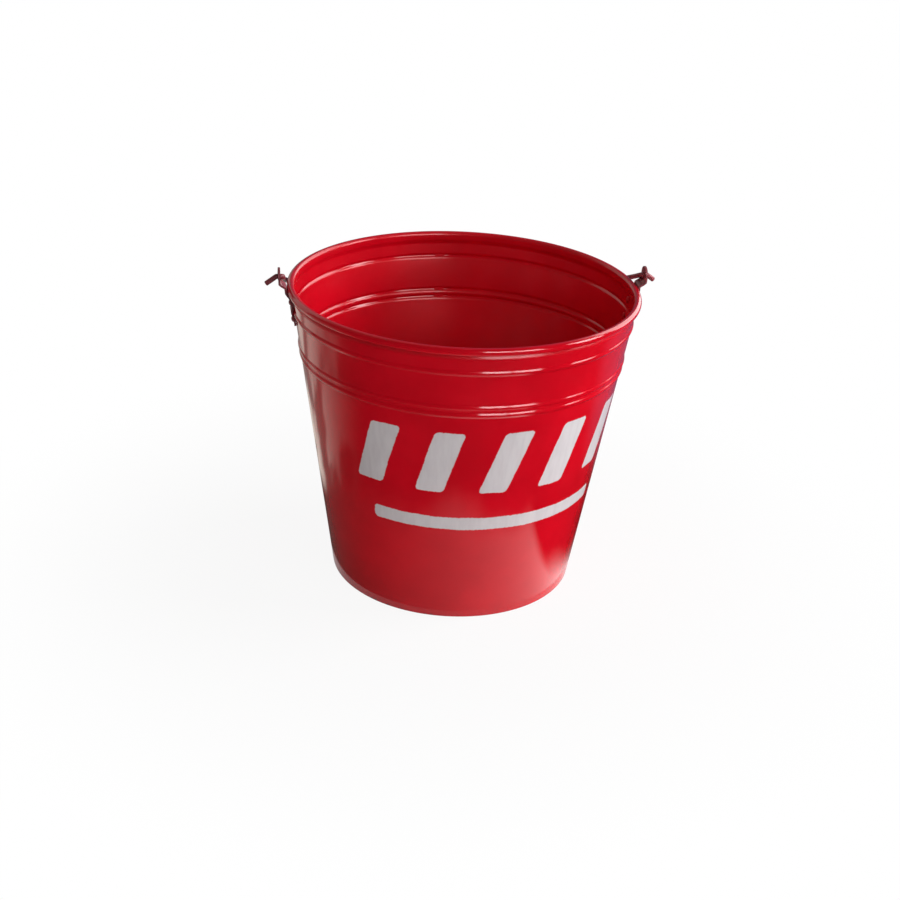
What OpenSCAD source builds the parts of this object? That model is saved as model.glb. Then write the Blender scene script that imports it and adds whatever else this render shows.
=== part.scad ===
// Fire bucket of painted sheet steel, in millimetres.
// The origin is the middle of the foot on the floor and +Z is up. The two ears lie
// along X, and the wire bail is folded back towards +Y, where it rests on the wall.

/* [Body] */
// Height from the floor to the top of the rolled rim
body_h = 246; // [220:1:290]
// Diameter over the rolled rim
rim_d = 280; // [260:1:320]
// Outer diameter of the wall where it reaches the floor
base_d = 200; // [170:1:230]
// Thickness of the sheet of the wall and the bottom
sheet_t = 0.8; // [0.6:0.1:1.1]

/* [Rim] */
// Diameter of the wire inside the rolled rim
rim_wire_d = 4.3; // [3:0.1:6]
// How far the roll stands out past the wall's cone
rim_overhang = 2.5; // [1:0.1:3.5]
// Height of the sloping shoulder below the roll
shoulder_h = 5; // [3:0.5:7]
// Angle that the sheet wraps round the rim wire
curl_wrap = 295; // [240:1:310]

/* [Beads] */
// Depth of the upper bead's crest below the top of the rim
bead_depth = 21; // [19:0.5:26]
// Depth of the crest of the first of the two lower beads
pair_depth = 50.3; // [44:0.1:70]
// Width of each bead
bead_w = 5.4; // [4:0.1:6.5]
// Flat strip between the two lower beads
pair_flat = 0.8; // [0.4:0.1:6]
// Height of each bead's crest above the wall
bead_h = 1.1; // [0.5:0.1:1.3]

/* [Foot and bottom] */
// Height of the bottom's inside face above the floor at its edge
bottom_z = 10; // [9:0.5:16]
// Height of the folded hem that grips the bottom's flange
hem_h = 6; // [4:0.5:6]
// Bend radius of the sheet's middle at the foot
foot_bend = 0.5; // [0.45:0.01:0.6]
// Bend radius of the sheet's middle at the bottom's edge
bottom_bend = 2; // [1.5:0.1:2.5]
// Diameter of the raised panel in the middle of the bottom
panel_d = 140; // [100:1:150]
// Height of that raised panel
panel_rise = 1.5; // [0.5:0.1:3]
// Width of the slope round that raised panel
panel_slope = 6; // [4:0.5:10]

/* [Side seam] */
// Width of the folded side seam at the back
seam_w = 8; // [5:0.5:12]
// Thickness that the seam adds to the wall
seam_t = 1.4; // [1.3:0.1:2.2]
// Height of the seam's lower end above the floor
seam_foot = 3; // [3:0.5:12]

/* [Ears] */
// Width of each ear's strap and eye
ear_w = 14; // [12:0.5:18]
// Thickness of each ear
ear_t = 1.6; // [1.2:0.1:2]
// Height of the eye's middle above the top of the rim
eye_z = 7; // [6.5:0.1:10]
// Bend radius of the ear strap's middle
ear_bend = 1.5; // [1.2:0.1:2]
// Radius of the strap's lower corners
ear_corner = 4; // [2:0.5:5]

/* [Rivets] */
// Distance between the two rivets of an ear
rivet_pitch = 13.6; // [13:0.1:15]
// Diameter of each rivet's shank
rivet_d = 3; // [2.5:0.1:3.5]
// Diameter of each rivet's outer head
rivet_head_d = 5.6; // [5:0.1:6]
// Height of each rivet's outer head
rivet_head_h = 1.6; // [1.2:0.1:2.5]
// Diameter of each rivet's inner head
rivet_tail_d = 5; // [4.4:0.1:6]
// Height of each rivet's inner head
rivet_tail_h = 1.1; // [0.8:0.1:1.6]
// Distance from the lower rivet to the strap's lower end
rivet_edge = 5; // [4.5:0.5:8]

/* [Bail] */
// Diameter of the bail's wire
bail_d = 4; // [3:0.1:5]
// Gap between the bail's legs and the rolled rim
bail_rim_gap = 1; // [0.6:0.1:2]
// Bend radius of the wire's middle beside each ear
bail_bend = 2.6; // [2.6:0.1:4]
// Length of the bent-down end outside the left ear
left_tip = 9.5; // [5:0.5:16]
// Length of the bent-down end outside the right ear
right_tip = 6.5; // [5:0.5:16]
// Angle of both ends below the level
tip_drop = 36; // [10:1:60]

/* [Clearances] */
// Gap between fixed pieces that are pressed together
seat_gap = 0.05; // [0.02:0.01:0.1]
// Gap between the rim wire and the sheet rolled round it
wire_gap = 0.1; // [0.08:0.01:0.15]
// Gap between the bail and what it rests on or passes
bail_gap = 0.3; // [0.2:0.05:0.6]
// Gap between the bail's wire and the rim of an ear's eye
eye_gap = 0.5; // [0.3:0.05:0.8]
// Gap between the ear straps and the rolled rim
strap_gap = 0.2; // [0.1:0.05:0.5]

/* [Hidden] */
$fn = 96;
enamel_red = [0.78, 0.04, 0.10];
ear_brown = [0.36, 0.07, 0.11];
bare_steel = [0.62, 0.62, 0.60];

// Number of steps in one bend, bead or slope
curl_steps = 20;
bend_steps = 6;
bead_steps = 8;

// Radii and slopes
rim_r = rim_d / 2;
roll_r = rim_wire_d / 2 + wire_gap + sheet_t;
curl_mid = roll_r - sheet_t / 2;
roll_x = rim_r - roll_r;
roll_z = body_h - roll_r;
cone_top = rim_r - rim_overhang;
taper = (cone_top - base_d / 2) / body_h;
lean = atan(taper);
mid_shift = sheet_t / 2 / cos(lean);
shoulder_top = 2 * roll_r;
shoulder_end = shoulder_top + shoulder_h;
pair_pitch = bead_w + pair_flat;

// Ears, rivets and bail
upper_rivet = bead_depth - rivet_pitch / 2;
lower_rivet = bead_depth + rivet_pitch / 2;
strap_end = lower_rivet + rivet_edge;
// The strap leaves the wall above the upper rivet's head, and rises gently over the
// bead between the two heads
strap_leave = upper_rivet - rivet_head_d / 2 - ear_bend / 3;
strap_bump_w = rivet_pitch - rivet_head_d;
strap_x = rim_r + strap_gap + ear_t / 2;
leg_x = rim_r + bail_rim_gap + bail_d / 2;
eye_in = leg_x + bail_d / 2 + bail_gap;
eye_x = eye_in + ear_t / 2;
pivot_z = body_h + eye_z;
bail_reach = leg_x + bail_bend;
pin_end = eye_in + ear_t + bail_gap;
pinch = 0.06;
// The bail's crown meets the seam where reach * cos(drop) = the seam's radius there
rest_reach = cone_top + seam_t + taper * eye_z + bail_d / 2 + bail_gap;
rest_drop = lean + acos(rest_reach * cos(lean) / bail_reach);

// Shapes of the wall, as functions of the depth below the top of the rim
function smooth(t) = t <= 0 ? 0 : t >= 1 ? 1 : t * t * (3 - 2 * t);
function bump(d, crest, w) = abs(d - crest) < w / 2
    ? bead_h * (1 + cos(360 * (d - crest) / w)) / 2 : 0;
function beads(d) = bump(d, bead_depth, bead_w) + bump(d, pair_depth, bead_w)
    + bump(d, pair_depth + pair_pitch, bead_w);
function cone_r(d) = cone_top - taper * d;
function neck_blend(d) = smooth((d - shoulder_top) / shoulder_h);
function wall_mid(d) = (1 - neck_blend(d)) * (roll_x - curl_mid)
    + neck_blend(d) * (cone_r(d) - mid_shift + beads(d));
function wall_point(d) = [wall_mid(d), body_h - d];

function span(a, b, steps) = [for (i = [0 : steps]) a + (b - a) * i / steps];
function crest_span(crest, w) = span(crest - w / 2, crest + w / 2, bead_steps);
function arc(centre, r, from, to, steps) =
    [for (a = span(from, to, steps)) centre + r * [cos(a), sin(a)]];
function unit(v) = v / norm(v);
function left_of(v) = [-v[1], v[0]];

// A strip of one thickness along a path: both sides of the path, mitred at its points
function side(path, shift) = let (last = len(path) - 1) [for (i = [0 : last])
    let (u = unit(path[min(i + 1, last)] - path[min(i, last - 1)]),
         v = unit(path[max(i, 1)] - path[max(i - 1, 0)]),
         n = unit(left_of(u) + left_of(v)))
    path[i] + n * shift / (n * left_of(v))];
function reversed(list) = [for (i = [len(list) - 1 : -1 : 0]) list[i]];
module strip(path, t) {
    polygon(concat(side(path, t / 2), reversed(side(path, -t / 2))));
}

// A path with its inner corners turned into bends of radius r
function bends(path, r) = [for (i = [0 : len(path) - 1])
    each (i == 0 || i == len(path) - 1) ? [path[i]] :
    let (u = unit(path[i] - path[i - 1]),
         v = unit(path[i + 1] - path[i]),
         turn = asin(u[0] * v[1] - u[1] * v[0]),
         dir = sign(turn),
         centre = path[i] - u * r * tan(abs(turn) / 2) + dir * r * left_of(u),
         from = atan2(u[1], u[0]) - 90 * dir)
    arc(centre, r, from, from + turn, bend_steps)];

// The wall's sheet: curl, neck, shoulder, cone with beads, and the hem at the foot
hem_mid = (2 * sheet_t + 2 * seat_gap - 2 * foot_bend) / cos(lean);
foot_z = foot_bend + sheet_t / 2;
// Middle of the outer foot bend, which touches the cone's middle line
foot_x = cone_r(body_h - foot_z) - mid_shift - foot_bend / cos(lean);
hem_dir = [sin(lean), cos(lean)];
hem_start = [foot_x - hem_mid, foot_z] - foot_bend * [cos(lean), -sin(lean)];
wall_path = concat(
    arc([roll_x, roll_z], curl_mid, 180 - curl_wrap, 180, curl_steps),
    [for (d = concat(span(shoulder_top, shoulder_end, bend_steps),
                     crest_span(bead_depth, bead_w), crest_span(pair_depth, bead_w),
                     crest_span(pair_depth + pair_pitch, bead_w))) wall_point(d)],
    arc([foot_x, foot_z], foot_bend, -lean, -90, bend_steps),
    arc([foot_x - hem_mid, foot_z], foot_bend, -90, -180 - lean, bend_steps),
    [hem_start + hem_dir * (hem_h - hem_start[1]) / cos(lean)]);

// The bottom's sheet: flange in the hem, bend, flat ring, slope and raised panel
flange_shift = (sheet_t + seat_gap) / cos(lean);
flange_foot = sheet_t + 2 * seat_gap;
function flange_x(z) = cone_r(body_h - z) - mid_shift - flange_shift;
bottom_mid = bottom_z - sheet_t / 2;
bend_z = bottom_mid - bottom_bend;
bend_x = flange_x(bend_z) - bottom_bend / cos(lean);
bottom_path = concat(
    [[flange_x(flange_foot), flange_foot]],
    arc([bend_x, bend_z], bottom_bend, -lean, 90, bend_steps),
    [for (t = span(0, 1, bend_steps))
        [panel_d / 2 + panel_slope * (1 - t), bottom_mid + panel_rise * smooth(t)]],
    [[0, bottom_mid + panel_rise]]);

// The ear's strap from its lower end up to the top of the eye
function strap_point(d) = [cone_r(d) + bump(d, bead_depth, strap_bump_w)
                           + (seat_gap + ear_t / 2) / cos(lean), body_h - d];
joggle_foot = -roll_r / 3;
joggle_top = joggle_foot + (eye_x - strap_x) * 0.6;
strap_path = concat(
    [for (d = concat([strap_end], reversed(crest_span(bead_depth, strap_bump_w))))
        strap_point(d)],
    bends([strap_point(upper_rivet), strap_point(strap_leave),
           [strap_x, body_h - shoulder_top + roll_r / 3],
           [strap_x, body_h + joggle_foot],
           [eye_x, body_h + joggle_top],
           [eye_x, pivot_z + ear_w / 2]], ear_bend));

// Places a shape that points along +X on the wall's cone at a depth
module on_cone(d) {
    translate([cone_r(d), 0, body_h - d]) rotate([0, lean, 0]) children();
}

module rivet_holes() {
    for (s = [0, 1]) mirror([s, 0, 0])
        for (d = [upper_rivet, lower_rivet])
            on_cone(d) rotate([0, 90, 0])
                cylinder(d = rivet_d + 2 * seat_gap, h = 8 * ear_t, center = true);
}

module seam_rib() {
    length = (body_h - seam_foot - shoulder_end) / cos(lean);
    rotate([0, 0, 90])
        translate([cone_r(shoulder_end), 0, body_h - shoulder_end])
            rotate([0, lean, 0])
                translate([-sheet_t / 2, -seam_w / 2, -length])
                    cube([sheet_t / 2 + seam_t, seam_w, length]);
}

module body_wall() {
    color(enamel_red)
        difference() {
            union() {
                rotate_extrude() strip(wall_path, sheet_t);
                seam_rib();
            }
            rivet_holes();
        }
}

module rim_wire() {
    color(bare_steel)
        rotate_extrude() translate([roll_x, roll_z]) circle(d = rim_wire_d);
}

module bottom_pan() {
    color(enamel_red) rotate_extrude() strip(bottom_path, sheet_t);
}

// The ear's outline seen along X: a round eye on top of a strap with round corners
module ear_outline() {
    low = body_h - strap_end;
    translate([0, pivot_z]) circle(d = ear_w);
    translate([-ear_w / 2, low + ear_corner])
        square([ear_w, pivot_z - low - ear_corner]);
    translate([-ear_w / 2 + ear_corner, low - ear_t])
        square([ear_w - 2 * ear_corner, ear_corner + 2 * ear_t]);
    for (s = [-1, 1])
        translate([s * (ear_w / 2 - ear_corner), low + ear_corner])
            circle(r = ear_corner);
}

module ear() {
    difference() {
        intersection() {
            rotate([90, 0, 0])
                linear_extrude(height = 2 * ear_w, center = true)
                    strip(strap_path, ear_t);
            rotate([90, 0, 90])
                linear_extrude(height = eye_x + 2 * ear_t) ear_outline();
        }
        translate([eye_x, 0, pivot_z]) rotate([0, 90, 0])
            cylinder(d = bail_d + 2 * eye_gap, h = 4 * ear_t, center = true);
        rivet_holes();
    }
}

module ear_left() {
    color(ear_brown) mirror([1, 0, 0]) ear();
}

module ear_right() {
    color(ear_brown) ear();
}

// One rivet on the right ear: a domed head outside and a flatter one inside
module rivet(d) {
    head_r = rivet_head_d / 2;
    dome_r = (head_r * head_r + rivet_head_h * rivet_head_h) / (2 * rivet_head_h);
    dome_edge = atan2(dome_r - rivet_head_h, head_r);
    out = 2 * seat_gap + ear_t;
    in = -sheet_t - seat_gap;
    tail_r = rivet_tail_d / 2;
    on_cone(d) rotate([0, 90, 0])
        rotate_extrude() polygon(concat(
            [[0, in - rivet_tail_h], [tail_r - rivet_tail_h / 2, in - rivet_tail_h],
             [tail_r, in - rivet_tail_h / 2], [tail_r, in], [rivet_d / 2, in],
             [rivet_d / 2, out]],
            [for (a = [0 : bead_steps - 1])
                [0, out + rivet_head_h - dome_r] + dome_r *
                [cos(dome_edge + (90 - dome_edge) * a / bead_steps),
                 sin(dome_edge + (90 - dome_edge) * a / bead_steps)]],
            [[0, out + rivet_head_h]]));
}

module rivet_left_upper() {
    color(ear_brown) mirror([1, 0, 0]) rivet(upper_rivet);
}

module rivet_left_lower() {
    color(ear_brown) mirror([1, 0, 0]) rivet(lower_rivet);
}

module rivet_right_upper() {
    color(ear_brown) rivet(upper_rivet);
}

module rivet_right_lower() {
    color(ear_brown) rivet(lower_rivet);
}

// The bent-down end of the bail outside the right ear, with a slight swelling at both
// ends of its bend, where the wire was pinched
module bail_end(tip) {
    translate([pin_end, 0, -bail_bend]) rotate([90, 0, 0]) {
        rotate([0, 0, 90 - tip_drop]) {
            rotate_extrude(angle = tip_drop)
                translate([bail_bend, 0]) circle(d = bail_d);
            translate([bail_bend, 0, 0]) rotate([90, 0, 0])
                cylinder(d = bail_d, h = tip);
        }
        for (a = [90, 90 - tip_drop])
            rotate([0, 0, a]) translate([bail_bend, 0, 0]) sphere(d = bail_d + pinch);
    }
}

// The half circle of the bail, the bend beside the right ear and the pin in its eye
module bail_side() {
    translate([bail_reach, bail_bend, 0]) rotate([0, 0, 180])
        rotate_extrude(angle = 90)
            translate([bail_bend, 0]) circle(d = bail_d);
    translate([bail_reach, 0, 0]) rotate([0, 90, 0])
        cylinder(d = bail_d, h = pin_end - bail_reach);
}

module bail() {
    color(ear_brown)
        translate([0, 0, pivot_z]) {
            rotate([-rest_drop, 0, 0]) {
                translate([0, bail_bend, 0])
                    rotate_extrude(angle = 180)
                        translate([leg_x, 0]) circle(d = bail_d);
                bail_side();
                mirror([1, 0, 0]) bail_side();
            }
            bail_end(right_tip);
            mirror([1, 0, 0]) bail_end(left_tip);
        }
}

body_wall();
rim_wire();
bottom_pan();
ear_left();
ear_right();
rivet_left_upper();
rivet_left_lower();
rivet_right_upper();
rivet_right_lower();
bail();
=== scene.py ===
"""Fire bucket of red enamelled sheet steel with a rolled rim, riveted ears and a wire bail.

All lengths are in metres. The bucket stands on the floor at z = 0, its two ears lie along
X and the bail is folded back towards +Y. A depth is measured down from the top of the rim.
"""
import math

import bmesh
import bpy
from mathutils import Matrix, Vector


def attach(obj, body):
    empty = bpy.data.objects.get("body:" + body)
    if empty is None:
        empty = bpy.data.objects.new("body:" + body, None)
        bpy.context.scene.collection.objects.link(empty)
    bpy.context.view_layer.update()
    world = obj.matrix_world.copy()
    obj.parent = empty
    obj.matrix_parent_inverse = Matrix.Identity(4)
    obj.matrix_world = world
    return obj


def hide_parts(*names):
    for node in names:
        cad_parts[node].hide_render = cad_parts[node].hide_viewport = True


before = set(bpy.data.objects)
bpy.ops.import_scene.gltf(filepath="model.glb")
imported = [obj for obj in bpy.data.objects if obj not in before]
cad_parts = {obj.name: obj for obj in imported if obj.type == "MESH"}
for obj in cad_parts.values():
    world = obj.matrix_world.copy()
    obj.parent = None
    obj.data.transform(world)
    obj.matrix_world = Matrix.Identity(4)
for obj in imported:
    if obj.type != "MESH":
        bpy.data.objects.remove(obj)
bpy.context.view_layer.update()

scene = bpy.context.scene
MM = 0.001
FULL_TURN = 2 * math.pi
QUARTER_TURN = math.pi / 2

# Wall
BODY_H = 246 * MM
RIM_R = 140 * MM
BASE_R = 100 * MM
SHEET = 0.8 * MM
SEAT_GAP = 0.05 * MM

# Rolled rim and the shoulder below it
RIM_WIRE_D = 4.3 * MM
WIRE_GAP = 0.1 * MM
RIM_OVERHANG = 2.5 * MM
SHOULDER_H = 5 * MM
CURL_WRAP = 295  # degrees that the sheet goes round the rim wire

# Beads
BEAD_DEPTHS = (21 * MM, 50.3 * MM, 56.5 * MM)
BEAD_W = 5.4 * MM
BEAD_H = 1.1 * MM

# Foot hem and bottom
HEM_H = 6 * MM
FOOT_BEND = 0.5 * MM
BOTTOM_Z = 10 * MM
BOTTOM_BEND = 2 * MM
PANEL_R = 70 * MM
PANEL_FLAT_R = 63 * MM
PANEL_RISE = 1.5 * MM
PANEL_SLOPE = 6 * MM

# Side seam
SEAM_W = 8 * MM
SEAM_T = 1.4 * MM
SEAM_FOOT = 3 * MM
SEAM_TOP_GAP = 0.3 * MM
SEAM_ROUND = 0.2 * MM
SEAM_FOLD = 0.55 * MM   # width of the sloped edge of the fold
SEAM_EDGE = 0.7         # where that slope starts, as a share of the seam's thickness
SEAM_PRESS = 0.25 * MM  # how far the seam is pressed flat between the beads
SEAM_SWELL = 0.2 * MM   # how much thicker it stays over a bead

# Ears
EAR_W = 14 * MM
EAR_T = 1.6 * MM
EAR_BEND = 1.5 * MM
EAR_CORNER = 4 * MM
EAR_EDGE = 0.35 * MM
EYE_Z = 7 * MM
EYE_GAP = 0.5 * MM
STRAP_GAP = 0.2 * MM
STRAP_SLOPE = 0.6  # rise of the strap from rim to eye, as a share of its way out

# Rivets
RIVET_PITCH = 13.6 * MM
RIVET_D = 3 * MM
HEAD_D = 5.6 * MM
HEAD_H = 1.6 * MM
HEAD_LIP = 0.15 * MM
TAIL_D = 5 * MM
TAIL_H = 1.1 * MM
RIVET_EDGE = 5 * MM

# Bail
BAIL_D = 4 * MM
BAIL_BEND = 2.6 * MM
BAIL_GAP = 0.3 * MM
BAIL_RIM_GAP = 1 * MM
RIGHT_TIP = 6.5 * MM
LEFT_TIP = 9.5 * MM
TIP_DROP = math.radians(36)
TIP_ROUND = 0.5 * MM
TIP_CAPS = ((0.22 * MM, 0.32 * MM), (0.5 * MM, 0.18 * MM))  # steps inwards and onwards

# Painted mark on the front, five slanted bars above one band
MARK_R = 118 * MM   # radius that turns an angle round the bucket into a length
MARK_X = 17.5 * MM  # how far the middle of the mark lies right of -Y
BARS_Z = 147 * MM
BARS_H = 54 * MM
# Place of a bar's middle along the wall, its width, and its slant as a share of its height
BARS = (
    (-98 * MM, 23.5 * MM, 0.31),
    (-49.5 * MM, 22.5 * MM, 0.28),
    (0, 23 * MM, 0.32),
    (48.5 * MM, 24 * MM, 0.29),
    (98 * MM, 22.5 * MM, 0.31),
)
BAND_Z = 92 * MM
BAND_H = 12 * MM
BAND_W = 208 * MM
BRUSH_CORNER = 3.5 * MM
BRUSH_EDGE = 0.8 * MM

# How finely the round shapes are cut
WALL_STEPS = 224
BOTTOM_STEPS = 160
ROLL_STEPS = 44
SHOULDER_STEPS = 14
BEAD_STEPS = 18
FOOT_STEPS = 6
BEND_STEPS = 10
PANEL_STEPS = 12
PANEL_FLAT_STEPS = 4
SEAM_STEPS = 96
EYE_STEPS = 32
STRAP_STEPS = 40
STRAP_BUMP_STEPS = 16
CORNER_STEPS = 8
RIVET_STEPS = 36
HEAD_STEPS = 12
TAIL_STEPS = 5
WIRE_STEPS = 20
CROWN_STEPS = 72
ELBOW_STEPS = 12
TIP_STEPS = 8
STUDIO_STEPS = 96

# Points that lie closer than this are one point
SAME_POINT = 0.001 * MM
LEAST_STEP = 0.02 * MM  # on a path
CROWN_GAP = 0.01 * MM   # between the two halves of the bail

# Worked out from the sizes above
ROLL_R = RIM_WIRE_D / 2 + WIRE_GAP + SHEET
CURL_MID = ROLL_R - SHEET / 2
ROLL_X = RIM_R - ROLL_R
ROLL_Z = BODY_H - ROLL_R
CONE_TOP = RIM_R - RIM_OVERHANG
TAPER = (CONE_TOP - BASE_R) / BODY_H
LEAN = math.atan(TAPER)
MID_SHIFT = SHEET / 2 / math.cos(LEAN)
SHOULDER_TOP = 2 * ROLL_R
SHOULDER_END = SHOULDER_TOP + SHOULDER_H
PIVOT_Z = BODY_H + EYE_Z
LEG_X = RIM_R + BAIL_RIM_GAP + BAIL_D / 2
EYE_IN = LEG_X + BAIL_D / 2 + BAIL_GAP
EYE_X = EYE_IN + EAR_T / 2
STRAP_X = RIM_R + STRAP_GAP + EAR_T / 2
UPPER_RIVET = BEAD_DEPTHS[0] - RIVET_PITCH / 2
LOWER_RIVET = BEAD_DEPTHS[0] + RIVET_PITCH / 2
STRAP_END = LOWER_RIVET + RIVET_EDGE
STRAP_LEAVE = UPPER_RIVET - HEAD_D / 2 - EAR_BEND / 3
STRAP_BUMP_W = RIVET_PITCH - HEAD_D
BAIL_REACH = LEG_X + BAIL_BEND
PIN_END = EYE_IN + EAR_T + BAIL_GAP
REST_REACH = CONE_TOP + SEAM_T + TAPER * EYE_Z + BAIL_D / 2 + BAIL_GAP
REST_DROP = LEAN + math.acos(REST_REACH * math.cos(LEAN) / BAIL_REACH)

# Side of the bucket that the camera and the studio are set up for, in degrees from -Y
FRONT_TURN = -10

# Camera at the photograph's viewing angle, with its angles in radians
CAMERA_DISTANCE = 1.3265
CAMERA_RISE = 0.5121   # how high it stands, seen from the middle of the foot
CAMERA_PITCH = 0.4439  # how far it looks down
CAMERA_PAN = -0.0041   # how far it looks to its right
CAMERA_ROLL = 0.0519   # how far its right side is raised
SENSOR_MM = 36
LENS_MM = 61.61


def turned(v):
    """A place or direction that is given as if the front faced -Y, turned to the real one."""
    return Matrix.Rotation(math.radians(FRONT_TURN), 3, "Z") @ Vector(v)


def add_camera():
    data = bpy.data.cameras.new("camera")
    data.sensor_width = SENSOR_MM
    data.lens = LENS_MM
    camera = bpy.data.objects.new("camera", data)
    scene.collection.objects.link(camera)
    ahead = turned((math.sin(CAMERA_PAN) * math.cos(CAMERA_PITCH),
                    math.cos(CAMERA_PAN) * math.cos(CAMERA_PITCH), -math.sin(CAMERA_PITCH)))
    level = ahead.cross(Vector((0, 0, 1))).normalized()
    upright = level.cross(ahead)
    right = math.cos(CAMERA_ROLL) * level + math.sin(CAMERA_ROLL) * upright
    up = math.cos(CAMERA_ROLL) * upright - math.sin(CAMERA_ROLL) * level
    camera.matrix_world = Matrix((right, up, -ahead)).transposed().to_4x4()
    camera.location = turned((0, -CAMERA_DISTANCE * math.cos(CAMERA_RISE),
                              CAMERA_DISTANCE * math.sin(CAMERA_RISE)))
    scene.camera = camera


add_camera()


# Profiles, which are paths of points in the XZ plane
def smooth(t):
    """0 up to t = 0 and 1 from t = 1, with a soft change between them."""
    t = min(max(t, 0), 1)
    return t * t * (3 - 2 * t)


def bump(depth, crest, width, height=BEAD_H):
    """How far a rounded bead stands out at a depth."""
    off = depth - crest
    return height * (1 + math.cos(FULL_TURN * off / width)) / 2 if abs(off) < width / 2 else 0


def span(a, b, steps):
    """Evenly spaced numbers from a to b, both included."""
    return [a + (b - a) * i / steps for i in range(steps + 1)]


def cone_r(depth):
    """Outer radius of the plain wall at a depth."""
    return CONE_TOP - TAPER * depth


def wall_mid(depth):
    """Radius of the middle of the wall's sheet, with the shoulder and the beads."""
    blend = smooth((depth - SHOULDER_TOP) / SHOULDER_H)
    beads = sum(bump(depth, crest, BEAD_W) for crest in BEAD_DEPTHS)
    return (1 - blend) * (ROLL_X - CURL_MID) + blend * (cone_r(depth) - MID_SHIFT + beads)


def arc(x, z, r, a, b, steps):
    """Points round (x, z) from angle a to angle b, in degrees."""
    return [Vector((x + r * math.cos(math.radians(t)), 0, z + r * math.sin(math.radians(t))))
            for t in span(a, b, steps)]


def bends(path, r):
    """The path with a bend of radius r in place of each inner corner."""
    out = [path[0]]
    for before, corner, after in zip(path, path[1:], path[2:]):
        u = (corner - before).normalized()
        v = (after - corner).normalized()
        turn = math.asin(u.x * v.z - u.z * v.x)
        side = math.copysign(1, turn)
        centre = (corner - u * r * math.tan(abs(turn) / 2)
                  + Vector((-u.z, 0, u.x)) * r * side)
        start = math.degrees(math.atan2(u.z, u.x)) - 90 * side
        out += arc(centre.x, centre.z, r, start, start + math.degrees(turn), BEND_STEPS)
    return out + [path[-1]]


def apart(path):
    """The path without points that lie on the point before them."""
    out = [path[0]]
    for p in path[1:]:
        if (p - out[-1]).length > LEAST_STEP:
            out.append(p)
    return out


def path_length(path):
    return sum((b - a).length for a, b in zip(path, path[1:]))


def along(path, length):
    """The point at a length along the path."""
    for a, b in zip(path, path[1:]):
        step = (b - a).length
        if length <= step:
            return a + (b - a) * (length / step)
        length -= step
    return path[-1].copy()


# Meshes
def finish_mesh(bm, name, outward=True):
    """Turns a bmesh into a smooth piece, with its faces outwards unless told otherwise."""
    if outward:
        bmesh.ops.recalc_face_normals(bm, faces=bm.faces)
    for face in bm.faces:
        face.smooth = True
    mesh = bpy.data.meshes.new(name)
    bm.to_mesh(mesh)
    bm.free()
    piece = bpy.data.objects.new(name, mesh)
    scene.collection.objects.link(piece)
    return piece


def spun(path, steps):
    """The surface that a path in the XZ plane sweeps round Z."""
    bm = bmesh.new()
    verts = [bm.verts.new(p) for p in path]
    edges = [bm.edges.new(pair) for pair in zip(verts, verts[1:])]
    bmesh.ops.spin(bm, geom=verts + edges, axis=(0, 0, 1), cent=(0, 0, 0),
                   angle=FULL_TURN, steps=steps, use_merge=True)
    return bm


def turned_shape(path, steps):
    """A spun surface whose points on the axis are closed."""
    bm = spun(path, steps)
    bmesh.ops.remove_doubles(bm, verts=bm.verts, dist=SAME_POINT)
    return bm


def extrude(bm, edges):
    """Extrudes a row of edges and returns the new row."""
    out = bmesh.ops.extrude_edge_only(bm, edges=edges)
    return [e for e in out["geom"] if isinstance(e, bmesh.types.BMEdge)]


def verts_of(items):
    """The vertices of some edges or faces, each once."""
    return list({v for item in items for v in item.verts})


def thicken(piece, thickness):
    """Gives a surface the thickness of a sheet, half to each side."""
    mod = piece.modifiers.new("sheet", "SOLIDIFY")
    mod.thickness = thickness
    mod.offset = 0
    mod.use_even_offset = True
    return piece


def soften(piece, width, segments=3, angle=35):
    """Rounds the edges that are sharper than an angle in degrees."""
    mod = piece.modifiers.new("edges", "BEVEL")
    mod.width = width
    mod.segments = segments
    mod.profile = 0.5
    mod.limit_method = "ANGLE"
    mod.angle_limit = math.radians(angle)
    mod.harden_normals = True
    return piece


def sharp_at(piece, angle):
    """Keeps edges crisp where faces meet at more than this angle, in degrees."""
    piece.data.set_sharp_from_angle(angle=math.radians(angle))
    return piece


# Shader nodes
class Value:
    """What a node gives. Sums, products and the like of numbers add Math nodes."""

    def __init__(self, graph, socket):
        self.graph = graph
        self.socket = socket

    def work_out(self, operation, *values):
        return self.graph.add("ShaderNodeMath", {"operation": operation}, dict(enumerate(values)))

    def __add__(self, other):
        return self.work_out("ADD", self, other)

    def __radd__(self, other):
        return self.work_out("ADD", other, self)

    def __sub__(self, other):
        return self.work_out("SUBTRACT", self, other)

    def __rsub__(self, other):
        return self.work_out("SUBTRACT", other, self)

    def __mul__(self, other):
        return self.work_out("MULTIPLY", self, other)

    def __rmul__(self, other):
        return self.work_out("MULTIPLY", other, self)

    def atan2(self, other):
        return self.work_out("ARCTAN2", self, other)

    def abs(self):
        return self.work_out("ABSOLUTE", self)

    def power(self, other):
        return self.work_out("POWER", self, other)

    def log(self):
        return self.work_out("LOGARITHM", self, math.e)

    def max(self, other):
        return self.work_out("MAXIMUM", self, other)

    def min(self, other):
        return self.work_out("MINIMUM", self, other)

    def step(self, low, high, blend="SMOOTHSTEP"):
        """0 below low and 1 above high, with a soft change between them."""
        return self.graph.add("ShaderNodeMapRange", {"interpolation_type": blend},
                              {"Value": self, "From Min": low, "From Max": high})


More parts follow.
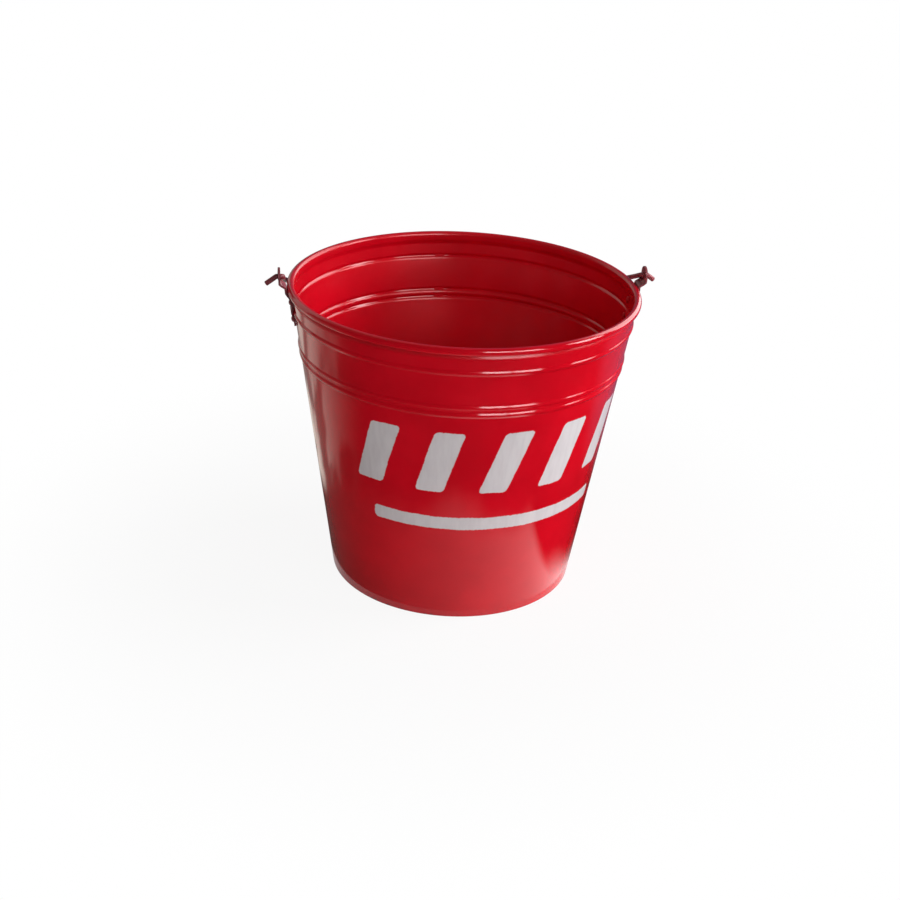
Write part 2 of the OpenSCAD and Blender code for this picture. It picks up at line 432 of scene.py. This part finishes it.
class Graph:
    """The nodes of a material or of the world, which is their owner."""

    def __init__(self, owner, output="ShaderNodeOutputMaterial"):
        owner.use_nodes = True
        self.owner = owner
        self.tree = owner.node_tree
        self.tree.nodes.clear()
        self.out = self.tree.nodes.new(output)
        self.coords = None

    def node(self, kind, settings=(), inputs=()):
        """A node with its settings made first and then its sockets filled or linked."""
        node = self.tree.nodes.new(kind)
        for key, value in dict(settings).items():
            setattr(node, key, value)
        for key, value in dict(inputs).items():
            self.feed(node.inputs[key], value)
        return node

    def feed(self, socket, value):
        value = value.socket if isinstance(value, Value) else value
        if isinstance(value, bpy.types.NodeSocket):
            self.tree.links.new(value, socket)
        else:
            socket.default_value = value

    def add(self, kind, settings=(), inputs=()):
        return Value(self, self.node(kind, settings, inputs).outputs[0])

    def show(self, shader):
        """Links a shader node to the output and returns the owner."""
        self.tree.links.new(shader.outputs[0], self.out.inputs["Surface"])
        return self.owner

    def place(self):
        """Object coordinates: a link to the vector, made once."""
        if self.coords is None:
            self.coords = self.node("ShaderNodeTexCoord").outputs["Object"]
        return self.coords

    def xyz(self):
        node = self.node("ShaderNodeSeparateXYZ", (), {"Vector": self.place()})
        return [Value(self, node.outputs[axis]) for axis in "XYZ"]

    def from_axis(self):
        """The distance from the bucket's upright axis."""
        x, y = self.xyz()[:2]
        return (x * x + y * y).power(0.5)

    def noise(self, scale, detail, rough=0.5, stretch=None, at=None):
        """Noise at the object coordinates, or at another vector."""
        vector = self.place() if at is None else at
        if stretch:
            vector = self.node("ShaderNodeMapping", (), {
                "Vector": vector, "Scale": stretch}).outputs[0]
        return self.add("ShaderNodeTexNoise", {"noise_dimensions": "3D"}, {
            "Vector": vector, "Scale": scale, "Detail": detail, "Roughness": rough})

    def mix(self, factor, a, b):
        """Colour a where the factor is 0 and colour b where it is 1."""
        node = self.node("ShaderNodeMix", {"data_type": "RGBA"}, {"Factor": factor})
        self.feed(node.inputs[6], a)
        self.feed(node.inputs[7], b)
        return Value(self, node.outputs[2])

    def bump(self, height, distance, strength):
        return self.add("ShaderNodeBump", (), {
            "Height": height, "Distance": distance, "Strength": strength})

    def surface(self, **inputs):
        """Shows a Principled shader, with its sockets' names given with underscores."""
        sockets = {key.replace("_", " "): value for key, value in inputs.items()}
        return self.show(self.node("ShaderNodeBsdfPrincipled", (), sockets))

    def glow(self, colour):
        return self.node("ShaderNodeEmission", (), {"Color": colour, "Strength": 1.0})

    def rays(self):
        """1 for a ray from the camera, off a glossy surface and through glass, in turn."""
        node = self.node("ShaderNodeLightPath")
        return [Value(self, node.outputs["Is " + kind + " Ray"])
                for kind in ("Camera", "Glossy", "Transmission")]


def material_graph(name):
    return Graph(bpy.data.materials.new(name))


def rgb(r, g, b):
    return (r, g, b, 1.0)


# Paints and metals
RED_DEEP = rgb(0.60, 0.0012, 0.010)
RED_BRIGHT = rgb(0.70, 0.002, 0.013)
RED_GRAIN = rgb(0.48, 0.001, 0.008)
PRIMER = rgb(0.10, 0.045, 0.04)
MARK_WHITE = rgb(0.71, 0.67, 0.68)
MARK_GREY = rgb(0.60, 0.55, 0.57)
BROWN_DEEP = rgb(0.19, 0.032, 0.044)
BROWN_BRIGHT = rgb(0.33, 0.055, 0.068)
STEEL_RUBBED = rgb(0.16, 0.14, 0.13)
STEEL_DULL = rgb(0.42, 0.41, 0.40)
STEEL_BRIGHT = rgb(0.60, 0.59, 0.57)


def stroke(across, up, width, height):
    """An oblong with round corners, as a mask from 0 to 1."""
    u = across.abs() - (width / 2 - BRUSH_CORNER)
    v = up.abs() - (height / 2 - BRUSH_CORNER)
    beyond = (u.max(0) * u.max(0) + v.max(0) * v.max(0)).power(0.5) + u.max(v).min(0)
    return 1 - (beyond - BRUSH_CORNER).step(-BRUSH_EDGE, 0)


def paint_mark(g):
    """Five plain slanted bars above one straight band, brushed on, as a mask from 0 to 1."""
    x, y, z = g.xyz()
    wobble = (g.noise(60, 3) - 0.5) * 2.4 * MM
    ragged = (g.noise(520, 2) - 0.5) * 1.1 * MM
    around = x.atan2(y * -1) * MARK_R - MARK_X + wobble + ragged
    height = z + wobble * 0.7 + ragged
    mark = stroke(around, height - BAND_Z, BAND_W, BAND_H)
    up = height - BARS_Z
    for place, width, slant in BARS:
        mark = mark.max(stroke(around - place - up * slant, up, width, BARS_H))
    return mark


def inside_wall(g):
    """1 on the inner side of the sheet and 0 on its outer side."""
    middle = (g.xyz()[2] - BODY_H) * TAPER + (CONE_TOP - SHEET / 2)
    return 1 - (g.from_axis() - middle).step(-0.1 * MM, 0.1 * MM)


def enamel(name, marked=False):
    """Glossy red enamel, brushed on by hand, with a few places worn down to the primer."""
    g = material_graph(name)
    z = g.xyz()[2]
    cloudy = g.noise(16, 3)
    grain = g.noise(160, 3)
    red = g.mix(cloudy.step(0.3, 0.7), RED_DEEP, RED_BRIGHT)
    red = g.mix((grain - 0.5).abs() * 0.35, red, RED_GRAIN)

    chips = g.noise(310, 4, 0.62)
    near_rim = z.step(BODY_H - 1.2 * MM, BODY_H - 0.1 * MM)
    near_foot = 1 - z.step(0.6 * MM, 3.0 * MM)
    worn = (near_rim * chips.step(0.63, 0.66)).max(near_foot * chips.step(0.54, 0.58))
    worn = worn * g.noise(38, 2).step(0.5, 0.6)
    colour = g.mix(worn, red, PRIMER)

    within = inside_wall(g)
    rough = 0.07 + g.noise(48, 4, 0.6) * 0.08 + worn * 0.35 + within * 0.13
    waves = g.noise(17, 1)
    peel = g.noise(620, 2)
    height = waves * 0.9 + peel * 0.018 - worn * 0.05
    if marked:
        mark = paint_mark(g) * (1 - within)
        streaks = g.noise(230, 3, stretch=(1, 1, 0.16))
        white = g.mix(streaks.step(0.3, 0.8) * 0.6, MARK_WHITE, MARK_GREY)
        colour = g.mix(mark, colour, white)
        rough = rough + mark * (0.16 + streaks * 0.1)
        height = height + mark * (0.06 + streaks * 0.02)
    return g.surface(Base_Color=colour, Roughness=rough, Specular_IOR_Level=0.5,
                     Coat_Weight=0.35 - within * 0.3, Coat_Roughness=0.06,
                     Normal=g.bump(height, 1.2 * MM, 0.5))


def ear_paint(name, red_inside=False):
    """The brown-red paint of the ears, rivets and wire, rubbed thin in small places."""
    g = material_graph(name)
    patches = g.noise(90, 4)
    fine = g.noise(700, 3)
    colour = g.mix(patches.step(0.35, 0.7), BROWN_DEEP, BROWN_BRIGHT)
    rub = g.noise(260, 4, 0.65).step(0.62, 0.70)
    colour = g.mix(rub * 0.6, colour, STEEL_RUBBED)
    if red_inside:
        colour = g.mix(inside_wall(g), colour, RED_DEEP)
    rough = 0.28 + patches * 0.16 + fine * 0.06
    height = fine * 0.4 + patches * 0.8
    return g.surface(Base_Color=colour, Roughness=rough, Metallic=rub * 0.4,
                     Specular_IOR_Level=0.5, Normal=g.bump(height, 0.15 * MM, 0.6))


def drawn_steel(name):
    """Bare steel wire with fine lines from the die."""
    g = material_graph(name)
    lines = g.noise(900, 3, stretch=(1, 1, 8))
    return g.surface(Base_Color=g.mix(lines, STEEL_DULL, STEEL_BRIGHT),
                     Roughness=0.26 + lines * 0.2, Metallic=1.0,
                     Normal=g.bump(lines, 0.05 * MM, 0.4))


def coat_with(piece, material):
    """Gives a piece one material, in place of any that it has."""
    piece.data.materials.clear()
    piece.data.materials.append(material)


def dress(piece, material, body, slot, *nodes):
    """Paints a piece, lets it ride on a body and hides the nodes that it stands in for."""
    coat_with(piece, material)
    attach(piece, body)
    if nodes:
        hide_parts(*nodes)


# Bucket
def wall_path():
    """The middle of the wall's sheet, from inside the rolled rim to the end of the foot hem."""
    depths = span(SHOULDER_TOP, SHOULDER_END, SHOULDER_STEPS)
    for crest in BEAD_DEPTHS:
        depths += span(crest - BEAD_W / 2, crest + BEAD_W / 2, BEAD_STEPS)
    foot_z = FOOT_BEND + SHEET / 2
    foot_x = cone_r(BODY_H - foot_z) - MID_SHIFT - FOOT_BEND / math.cos(LEAN)
    hem_mid = (2 * SHEET + 2 * SEAT_GAP - 2 * FOOT_BEND) / math.cos(LEAN)
    lean = math.degrees(LEAN)
    path = arc(ROLL_X, ROLL_Z, CURL_MID, 180 - CURL_WRAP, 180, ROLL_STEPS)
    path += [Vector((wall_mid(d), 0, BODY_H - d)) for d in depths]
    path += arc(foot_x, foot_z, FOOT_BEND, -lean, -90, FOOT_STEPS)
    path += arc(foot_x - hem_mid, foot_z, FOOT_BEND, -90, -180 - lean, FOOT_STEPS)
    up = Vector((math.sin(LEAN), 0, math.cos(LEAN)))
    path.append(path[-1] + up * (HEM_H - path[-1].z) / math.cos(LEAN))
    return apart(path)


def bottom_path():
    """The middle of the bottom's sheet, from the lower edge of its flange to its centre."""
    shift = (SHEET + SEAT_GAP) / math.cos(LEAN)
    foot = SHEET + 2 * SEAT_GAP
    mid = BOTTOM_Z - SHEET / 2
    bend_z = mid - BOTTOM_BEND

    def flange_x(z):
        return cone_r(BODY_H - z) - MID_SHIFT - shift

    path = [Vector((flange_x(foot), 0, foot))]
    path += arc(flange_x(bend_z) - BOTTOM_BEND / math.cos(LEAN), bend_z, BOTTOM_BEND,
                -math.degrees(LEAN), 90, BEND_STEPS)
    path += [Vector((PANEL_R + PANEL_SLOPE * (1 - t), 0, mid + PANEL_RISE * smooth(t)))
             for t in span(0, 1, PANEL_STEPS)]
    path += [Vector((r, 0, mid + PANEL_RISE)) for r in span(PANEL_FLAT_R, 0, PANEL_FLAT_STEPS)]
    return apart(path)


def sheet_piece(name, path, steps):
    """A round piece of sheet steel, from the path of the middle of its sheet."""
    return sharp_at(thicken(finish_mesh(turned_shape(path, steps), name), SHEET), angle=60)


def side_seam():
    """The folded seam down the back, pressed a little flatter between the beads."""
    half = SEAM_W / 2
    outline = ((-half, 0), (-half, SEAM_EDGE), (-half + SEAM_FOLD, 1),
               (half - SEAM_FOLD, 1), (half, SEAM_EDGE), (half, 0))
    depths = span(SHOULDER_END + SEAM_TOP_GAP, BODY_H - SEAM_FOOT, SEAM_STEPS)

    def row(depth):
        proud = SEAM_T - SEAM_PRESS + sum(bump(depth, crest, 2 * BEAD_W, SEAM_SWELL)
                                          for crest in BEAD_DEPTHS)
        return [Vector((across, cone_r(depth) - SHEET / 2 + share * (proud + SHEET / 2),
                        BODY_H - depth)) for across, share in outline]

    bm = bmesh.new()
    verts = [bm.verts.new(p) for p in row(depths[0])]
    edges = [bm.edges.new(pair) for pair in zip(verts, verts[1:] + verts[:1])]
    bm.faces.new(verts)
    for depth in depths[1:]:
        edges = extrude(bm, edges)
        corners = verts_of(edges)
        for p in row(depth):
            nearest = min(corners, key=lambda v: abs(v.co.x - p.x) * 10 + abs(v.co.y - p.y))
            nearest.co = p
            corners.remove(nearest)
    bmesh.ops.edgeloop_fill(bm, edges=edges)
    return soften(finish_mesh(bm, "side_seam"), SEAM_ROUND, segments=2, angle=30)


# Ears and rivets
def strap_path():
    """The middle of the right ear's strap, from the top of its eye to its lower end."""
    crest = BEAD_DEPTHS[0]
    rim_top = BODY_H - ROLL_R / 3
    rim_foot = BODY_H - SHOULDER_TOP + ROLL_R / 3

    def on_wall(depth):
        return Vector((cone_r(depth) + bump(depth, crest, STRAP_BUMP_W)
                       + (SEAT_GAP + EAR_T / 2) / math.cos(LEAN), 0, BODY_H - depth))

    over_bead = span(crest + STRAP_BUMP_W / 2, crest - STRAP_BUMP_W / 2, STRAP_BUMP_STEPS)
    path = [on_wall(depth) for depth in [STRAP_END] + over_bead]
    path += bends([on_wall(UPPER_RIVET), on_wall(STRAP_LEAVE), Vector((STRAP_X, 0, rim_foot)),
                   Vector((STRAP_X, 0, rim_top)),
                   Vector((EYE_X, 0, rim_top + (EYE_X - STRAP_X) * STRAP_SLOPE)),
                   Vector((EYE_X, 0, PIVOT_Z + EAR_W / 2))], EAR_BEND)
    return list(reversed(path))


def flat_ear(length):
    """An ear cut out flat: a round eye about the origin on a strap that runs down -Y."""
    half = EAR_W / 2
    bm = bmesh.new()
    hole = bmesh.ops.create_circle(bm, segments=EYE_STEPS, radius=BAIL_D / 2 + EYE_GAP)["verts"]
    rim = bmesh.ops.create_circle(bm, segments=EYE_STEPS, radius=half)["verts"]
    for v in rim:
        if v.co.y < 0:
            v.co *= half / max(abs(v.co.x), abs(v.co.y))
    edges = {e for v in hole + rim for e in v.link_edges}
    bmesh.ops.bridge_loops(bm, edges=list(edges))
    lower = [e for e in bm.edges if all(abs(v.co.y + half) < SAME_POINT for v in e.verts)]
    corner = length - EAR_CORNER
    places = span(half, corner, STRAP_STEPS)
    places += [corner + EAR_CORNER * math.sin(math.radians(t))
               for t in span(0, 90, CORNER_STEPS)[1:]]
    for place in places[1:]:
        lower = extrude(bm, lower)
        row = verts_of(lower)
        into = max(place - corner, 0)
        now = half - EAR_CORNER + math.sqrt(max(EAR_CORNER ** 2 - into ** 2, 0))
        before = max(abs(v.co.x) for v in row)
        for v in row:
            v.co = Vector((v.co.x * now / before, -place, 0))
    return bm


def ear(name, side):
    """A flat ear, bent along its strap's path and given its thickness."""
    path = strap_path()
    half = EAR_W / 2
    bm = flat_ear(path_length(path) - half)
    for v in bm.verts:
        at = along(path, half - v.co.y)
        v.co = Vector((side * at.x, v.co.x, at.z))
    return sharp_at(soften(thicken(finish_mesh(bm, name), EAR_T), EAR_EDGE), angle=50)


def rivet(name, side, depth):
    """A rivet with a domed head outside the ear and a flatter head inside the wall."""
    head_r = HEAD_D / 2
    tail_r = TAIL_D / 2
    shank_r = RIVET_D / 2
    dome_r = (head_r ** 2 + HEAD_H ** 2) / (2 * HEAD_H)
    outer = 2 * SEAT_GAP + EAR_T
    inner = -SHEET - SEAT_GAP
    low = inner - TAIL_H
    edge = math.degrees(math.atan2(dome_r - HEAD_H, head_r))
    path = [Vector((0, 0, low))]
    path += [Vector((tail_r - TAIL_H / 2 * (1 - math.sin(math.radians(t))), 0,
                     low + TAIL_H / 2 * (1 - math.cos(math.radians(t)))))
             for t in span(0, 90, TAIL_STEPS)]
    path += [Vector((tail_r, 0, inner)), Vector((shank_r, 0, inner)),
             Vector((shank_r, 0, outer)), Vector((head_r - HEAD_LIP, 0, outer))]
    path += arc(0, outer + HEAD_H - dome_r, dome_r, edge, 90, HEAD_STEPS)
    path[-1].x = 0
    bm = turned_shape(path, RIVET_STEPS)
    stand = (Matrix.Translation((cone_r(depth), 0, BODY_H - depth))
             @ Matrix.Rotation(LEAN, 4, "Y") @ Matrix.Rotation(QUARTER_TURN, 4, "Y"))
    bm.transform(Matrix.Diagonal((side, 1, 1, 1)) @ stand)
    return sharp_at(finish_mesh(bm, name), angle=40)


# Bail
def half_bail(side, tip):
    """One half of the bail, from its crown to the bent end outside one ear."""
    bm = bmesh.new()
    ring = bmesh.ops.create_circle(bm, segments=WIRE_STEPS, radius=BAIL_D / 2)["verts"]
    crown = (Matrix.Translation((0, BAIL_BEND + LEG_X, 0))
             @ Matrix.Rotation(QUARTER_TURN, 4, "Y"))
    bmesh.ops.transform(bm, verts=ring, matrix=crown)
    edges = list({e for v in ring for e in v.link_edges})

    def sweep(centre, axis, angle, steps):
        nonlocal edges
        out = bmesh.ops.spin(bm, geom=edges, cent=centre, axis=axis, angle=angle,
                             steps=steps, use_merge=False)
        edges = [e for e in out["geom_last"] if isinstance(e, bmesh.types.BMEdge)]

    def push(way):
        nonlocal edges
        edges = extrude(bm, edges)
        bmesh.ops.translate(bm, verts=verts_of(edges), vec=way)

    sweep((0, BAIL_BEND, 0), (0, 0, 1), -QUARTER_TURN, CROWN_STEPS)
    sweep((BAIL_REACH, BAIL_BEND, 0), (0, 0, 1), QUARTER_TURN, ELBOW_STEPS)
    push((PIN_END - BAIL_REACH, 0, 0))
    bmesh.ops.rotate(bm, verts=bm.verts, cent=(0, 0, 0),
                     matrix=Matrix.Rotation(-REST_DROP, 3, "X"))
    sweep((PIN_END, 0, -BAIL_BEND), (0, 1, 0), TIP_DROP, TIP_STEPS)
    ahead = Vector((math.cos(TIP_DROP), 0, -math.sin(TIP_DROP)))
    push(ahead * (tip - TIP_ROUND))
    cap = bmesh.ops.edgeloop_fill(bm, edges=edges)["faces"]
    for inset, advance in TIP_CAPS:
        bmesh.ops.inset_region(bm, faces=cap, thickness=inset)
        bmesh.ops.translate(bm, verts=verts_of(cap), vec=ahead * advance)
    bm.transform(Matrix.Diagonal((side, 1, 1, 1)) @ Matrix.Translation((0, 0, PIVOT_Z)))
    return bm


def bail():
    """Both halves of the bail, joined at the crown."""
    both = bmesh.new()
    for side, tip in ((1, RIGHT_TIP), (-1, LEFT_TIP)):
        half = half_bail(side, tip)
        mesh = bpy.data.meshes.new("half")
        half.to_mesh(mesh)
        half.free()
        both.from_mesh(mesh)
        bpy.data.meshes.remove(mesh)
    bmesh.ops.remove_doubles(both, verts=both.verts, dist=CROWN_GAP)
    return sharp_at(finish_mesh(both, "bail_wire"), angle=60)


# The pieces, dressed and in their places
red_wall = enamel("red_enamel_marked", marked=True)
red_plain = enamel("red_enamel")
brown = ear_paint("ear_brown_paint")
rivet_brown = ear_paint("rivet_brown_paint", red_inside=True)

dress(sheet_piece("bucket_wall", wall_path(), WALL_STEPS), red_wall,
      "bucket", "enamel_red", "body_wall")
dress(sheet_piece("bucket_bottom", bottom_path(), BOTTOM_STEPS), red_plain,
      "bucket", "enamel_red", "bottom_pan")
dress(side_seam(), red_plain, "bucket", "enamel_red")
for hand, side in (("left", -1), ("right", 1)):
    dress(ear("ear_strap_" + hand, side), brown, "bucket", "ear_brown", "ear_" + hand)
    for level, depth in (("upper", UPPER_RIVET), ("lower", LOWER_RIVET)):
        name = hand + "_" + level
        dress(rivet("rivet_head_" + name, side, depth), rivet_brown,
              "bucket", "ear_brown", "rivet_" + name)
dress(bail(), brown, "bail", "ear_brown", "bail")
coat_with(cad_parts["rim_wire"], drawn_steel("drawn_steel"))

# Studio, with turns and rises in degrees
LEVEL = 130 * MM  # height that a rise is measured from, the middle of the wall
FLOOR_R = 6
FLOOR_SHADED = rgb(0.86, 0.86, 0.86)
FLOOR_PALE = rgb(0.90, 0.90, 0.90)
FLOOR_SEEN = 0.91      # share of plain white that the camera sees close to the foot
SHADOW_IN = 0.16       # radius where that share starts to grow
SHADOW_OUT = 0.46      # radius from which the floor is all white
FLOOR_IN_GLOSS = 0.25  # the same share in reflections
FLOOR_IN_GLASS = 0.80  # the same share through glass
WHITE = rgb(1, 1, 1)
# Radius and height of the screen's corners, from beside the foot to over the bucket
SCREEN_PATH = ((0.104, 0.0015), (0.5, 0.002), (3.4, 0.002), (3.4, 1.5), (3.4, 3.0), (0.001, 3.0))
CLOTH_DARK = rgb(0.015, 0.012, 0.012)
CLOTH_SAND = rgb(0.84, 0.77, 0.68)
CLOTH_GREY = rgb(0.8, 0.8, 0.8)
CLOTH_PLUM = rgb(0.16, 0.10, 0.17)
# Painted shadow and painted sunlight on the near ground, which only reflections show
GROUND_PAINTED_SHADOW = rgb(0.07, 0.06, 0.055)
GROUND_PAINTED_SUN = rgb(1.45, 1.4, 1.4)
# Glowing boards and panes, painted reflections of windows and walls: turn of the middle, width,
# lowest and highest rise, soft edge, colour
BOARDS = (
    (-136, 46, 3, 40, 4, rgb(0.60, 0.56, 0.52)),
    (138, 42, 3, 42, 4, rgb(3.0, 2.9, 2.9)),
    (119, 18, 6, 40, 1, rgb(3.8, 3.7, 3.8)),
    (87, 20, 13, 40, 1, rgb(8.5, 8.5, 8.7)),
    (24, 17, 14, 38, 1, rgb(7.5, 7.5, 7.7)),
    (44, 17, 14, 38, 1, rgb(7.5, 7.5, 7.7)),
)
AIR_WARM = rgb(1.0, 0.97, 0.94)
AIR_STRENGTH = 0.30
LAMP_COLOUR = (0.97, 0.98, 1.0)
# Lamps: name, turn, rise, distance, width, height and radiance
LAMPS = (
    ("window_right", 98, 22, 2.0, 1.2, 0.62, 14.8),
    ("window_front", 40, 28, 2.0, 1.2, 0.60, 3.3),
    ("white_card", 26, -12, 0.46, 0.36, 0.10, 1.8),
)


def floor():
    """A pale disc that keeps the bucket's shadow and fades to white away from it."""
    bm = bmesh.new()
    bmesh.ops.create_circle(bm, segments=STUDIO_STEPS, radius=FLOOR_R, cap_ends=True)
    piece = finish_mesh(bm, "floor", outward=False)
    g = material_graph("pale_floor")
    paper = g.node("ShaderNodeBsdfDiffuse", (), {
        "Color": g.mix(g.noise(30, 3), FLOOR_SHADED, FLOOR_PALE)})
    whiter = FLOOR_SEEN + g.from_axis().step(SHADOW_IN, SHADOW_OUT) * (1 - FLOOR_SEEN)
    camera, glossy, glass = g.rays()
    share = camera * whiter + glossy * FLOOR_IN_GLOSS + glass * FLOOR_IN_GLASS
    coat_with(piece, g.show(g.node("ShaderNodeMixShader", (), {
        0: share, 1: paper.outputs[0], 2: g.glow(WHITE).outputs[0]})))


def screen_cloth():
    """Painted reflections: the cloths, boards, panes and near ground that the enamel reflects.

    Their shade follows the direction from the bucket: turn 0 is the front and 90 is to its
    right, and rise is above LEVEL.
    """
    g = material_graph("screen_cloth")
    x, y, z = g.xyz()
    away = g.from_axis()
    turn = x.atan2(y * -1) * (180 / math.pi) - FRONT_TURN
    rise = (z - LEVEL).atan2(away) * (180 / math.pi)

    def board(middle, wide, low, high, soft):
        across = 1 - (turn - middle).abs().step(wide / 2, wide / 2 + soft)
        return across * rise.step(low - soft, low) * (1 - rise.step(high, high + soft))

    along_room = g.node("ShaderNodeCombineXYZ", (), {
        "X": turn * 0.042, "Y": away.log() * 2.0, "Z": z}).outputs[0]
    patches = 0.22 + g.noise(1.0, 2, at=along_room).step(0.42, 0.56) * 0.78
    on_left = 1 - turn.step(-125, -60)
    not_behind = 1 - turn.abs().step(138, 172) * 0.7
    low_down = 1 - rise.step(-10, 2) * 0.7
    shade = g.mix(on_left * patches * not_behind * low_down, CLOTH_DARK, CLOTH_SAND)
    shade = g.mix(turn.abs().step(120, 170) * 0.20, shade, CLOTH_GREY)
    shade = g.mix(turn.step(95, 112) * away.step(0.20, 0.36), shade, CLOTH_PLUM)
    # Each board paints a glowing pane into the reflections, which makes the highlights on the rim
    # and beads
    for *place, colour in BOARDS:
        shade = g.mix(board(*place), shade, colour)

    # The near ground is painted with the bucket's shadow, darkest on its left and behind, and
    # with a sunlit patch in front and to the right
    nearer = turn.step(8, 40) * 0.015 + turn.step(52, 66) * 0.05 + turn.step(66, 100) * 0.015
    near = 1 - (away + nearer + (g.noise(6, 2) - 0.5) * 0.10).step(0.175, 0.215)
    painted_sunlight = turn.step(-60, 70, "LINEAR") * (1 - turn.step(60, 125))
    shade = g.mix(near, shade, g.mix(painted_sunlight * painted_sunlight, GROUND_PAINTED_SHADOW, GROUND_PAINTED_SUN))
    return g.show(g.glow(shade))


def studio_screen():
    """A round screen over and around the bucket, which only its reflections show."""
    path = [Vector((radius, 0, height)) for radius, height in SCREEN_PATH]
    piece = finish_mesh(spun(path, STUDIO_STEPS), "studio_screen", outward=False)
    coat_with(piece, screen_cloth())
    for kind in ("camera", "diffuse", "shadow", "transmission", "volume_scatter"):
        setattr(piece, "visible_" + kind, False)


def studio_air():
    """Dim warm light from all round, and plain white for the camera and for reflections."""
    g = Graph(bpy.data.worlds.new("studio_air"), "ShaderNodeOutputWorld")
    camera, glossy, glass = g.rays()
    warm = g.node("ShaderNodeBackground", (), {"Color": AIR_WARM, "Strength": AIR_STRENGTH})
    white = g.node("ShaderNodeBackground", (), {"Color": WHITE, "Strength": 1.0})
    scene.world = g.show(g.node("ShaderNodeMixShader", (), {
        0: camera.max(glossy).max(glass), 1: warm.outputs[0], 2: white.outputs[0]}))


def add_lamp(name, turn, rise, distance, width, height, radiance):
    """A soft rectangular lamp that faces the bucket and shows in no reflection."""
    data = bpy.data.lights.new(name, "AREA")
    data.shape = "RECTANGLE"
    data.size = width
    data.size_y = height
    data.energy = radiance * math.pi * width * height
    data.color = LAMP_COLOUR
    a = math.radians(turn)
    e = math.radians(rise)
    way = turned((math.sin(a), -math.cos(a), 0)) * math.cos(e) + Vector((0, 0, math.sin(e)))
    lamp = bpy.data.objects.new(name, data)
    lamp.location = way * distance + Vector((0, 0, LEVEL))
    lamp.rotation_euler = (-way).to_track_quat("-Z", "Y").to_euler()
    lamp.visible_glossy = False
    scene.collection.objects.link(lamp)


floor()
studio_screen()
studio_air()
for lamp in LAMPS:
    add_lamp(*lamp)
bpy.data.objects["white_card"].visible_camera = False  # it stands close before the bucket

scene.view_settings.view_transform = "Standard"
